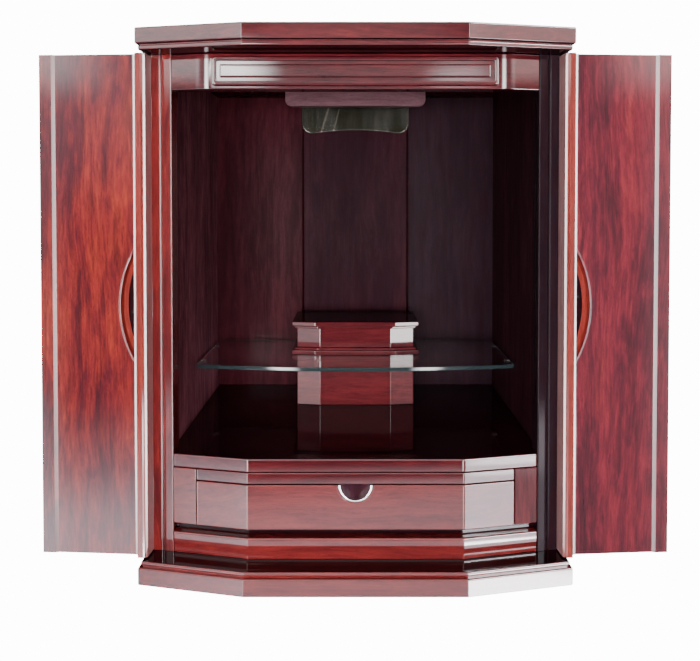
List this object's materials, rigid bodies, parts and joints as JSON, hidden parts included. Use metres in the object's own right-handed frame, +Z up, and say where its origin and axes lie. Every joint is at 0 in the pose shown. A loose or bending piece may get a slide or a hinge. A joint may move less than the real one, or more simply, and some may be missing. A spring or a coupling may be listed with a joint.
{
  "type": "household altar cabinet",
  "caption": "Tabletop household altar cabinet of glossy red rosewood with a faceted front, folding doors, a drawer, a glass shelf and a small pedestal.",
  "frame": {"origin": "middle of the underside", "axes": "+X to the viewer's right across the front, +Y from the front to the back, +Z up"},
  "size_m": [0.6894, 0.4, 0.6],
  "materials": {
    "rosewood": "glossy lacquer over red rosewood with dark figure",
    "rosewood_dark": "glossy lacquer over very dark red rosewood",
    "bright_metal": "polished plated metal",
    "clear_glass": "clear float glass with polished edges",
    "mirror_glass": "grey mirror glass"
  },
  "bodies": {
    "cabinet": {"altar_floor": "rosewood_dark", "back_hook": "bright_metal", "back_lining": "rosewood_dark", "back_mirror": "mirror_glass", "back_panel": "rosewood_dark", "base": "rosewood", "case_hinge_post_left_1": "bright_metal", "case_hinge_post_left_2": "bright_metal", "case_hinge_post_left_3": "bright_metal", "case_hinge_post_right_1": "bright_metal", "case_hinge_post_right_2": "bright_metal", "case_hinge_post_right_3": "bright_metal", "ceiling_board": "rosewood_dark", "crown": "rosewood", "drawer_bearer": "rosewood_dark", "drawer_rail": "rosewood", "drawer_stile_left": "rosewood", "drawer_stile_right": "rosewood", "glass_shelf": "clear_glass", "header_panel": "rosewood", "header_rail": "rosewood", "lamp_valance": "rosewood", "pedestal_foot": "rosewood", "pedestal_lower_box": "rosewood", "pedestal_top": "rosewood", "pedestal_upper_box": "rosewood", "plinth": "rosewood", "post_left": "rosewood", "post_right": "rosewood", "shelf_pin_back_left": "bright_metal", "shelf_pin_back_right": "bright_metal", "shelf_pin_front_left": "bright_metal", "shelf_pin_front_right": "bright_metal", "side_panel_left": "rosewood", "side_panel_right": "rosewood"},
    "left_outer_leaf": {"case_hinge_leaf_left_1": "bright_metal", "case_hinge_leaf_left_2": "bright_metal", "case_hinge_leaf_left_3": "bright_metal", "fold_hinge_outer_left_1": "bright_metal", "fold_hinge_outer_left_2": "bright_metal", "leaf_outer_left": "rosewood"},
    "left_inner_leaf": {"fold_hinge_inner_left_1": "bright_metal", "fold_hinge_inner_left_2": "bright_metal", "leaf_inner_left": "rosewood"},
    "right_outer_leaf": {"case_hinge_leaf_right_1": "bright_metal", "case_hinge_leaf_right_2": "bright_metal", "case_hinge_leaf_right_3": "bright_metal", "fold_hinge_outer_right_1": "bright_metal", "fold_hinge_outer_right_2": "bright_metal", "leaf_outer_right": "rosewood"},
    "right_inner_leaf": {"fold_hinge_inner_right_1": "bright_metal", "fold_hinge_inner_right_2": "bright_metal", "leaf_inner_right": "rosewood"},
    "drawer": {"drawer_back": "rosewood_dark", "drawer_bottom": "rosewood_dark", "drawer_front": "rosewood", "drawer_pull": "bright_metal", "drawer_side_left": "rosewood_dark", "drawer_side_right": "rosewood_dark"}
  },
  "joints": [
    {"name": "left_door", "type": "hinge", "parent": "cabinet", "child": "left_outer_leaf", "pos_m": [-0.2285, -0.14148, 0.3], "axis": [0, 0, 1], "range_deg": [0, 171]},
    {"name": "left_fold", "type": "hinge", "parent": "left_outer_leaf", "child": "left_inner_leaf", "pos_m": [-0.34165, -0.13357, 0.3], "axis": [0, 0, 1], "range_deg": [-167.05, 0]},
    {"name": "right_door", "type": "hinge", "parent": "cabinet", "child": "right_outer_leaf", "pos_m": [0.2285, -0.14148, 0.3], "axis": [0, 0, -1], "range_deg": [0, 171]},
    {"name": "right_fold", "type": "hinge", "parent": "right_outer_leaf", "child": "right_inner_leaf", "pos_m": [0.34165, -0.13357, 0.3], "axis": [0, 0, -1], "range_deg": [-167.05, 0]},
    {"name": "drawer_slide", "type": "slide", "parent": "cabinet", "child": "drawer", "axis": [0, 1, 0], "range_m": [-0.27, 0]}
  ],
  "couplings": [
    {"joint": "left_fold", "follows": "left_door", "ratio": -0.97661},
    {"joint": "right_fold", "follows": "right_door", "ratio": -0.97661}
  ]
}
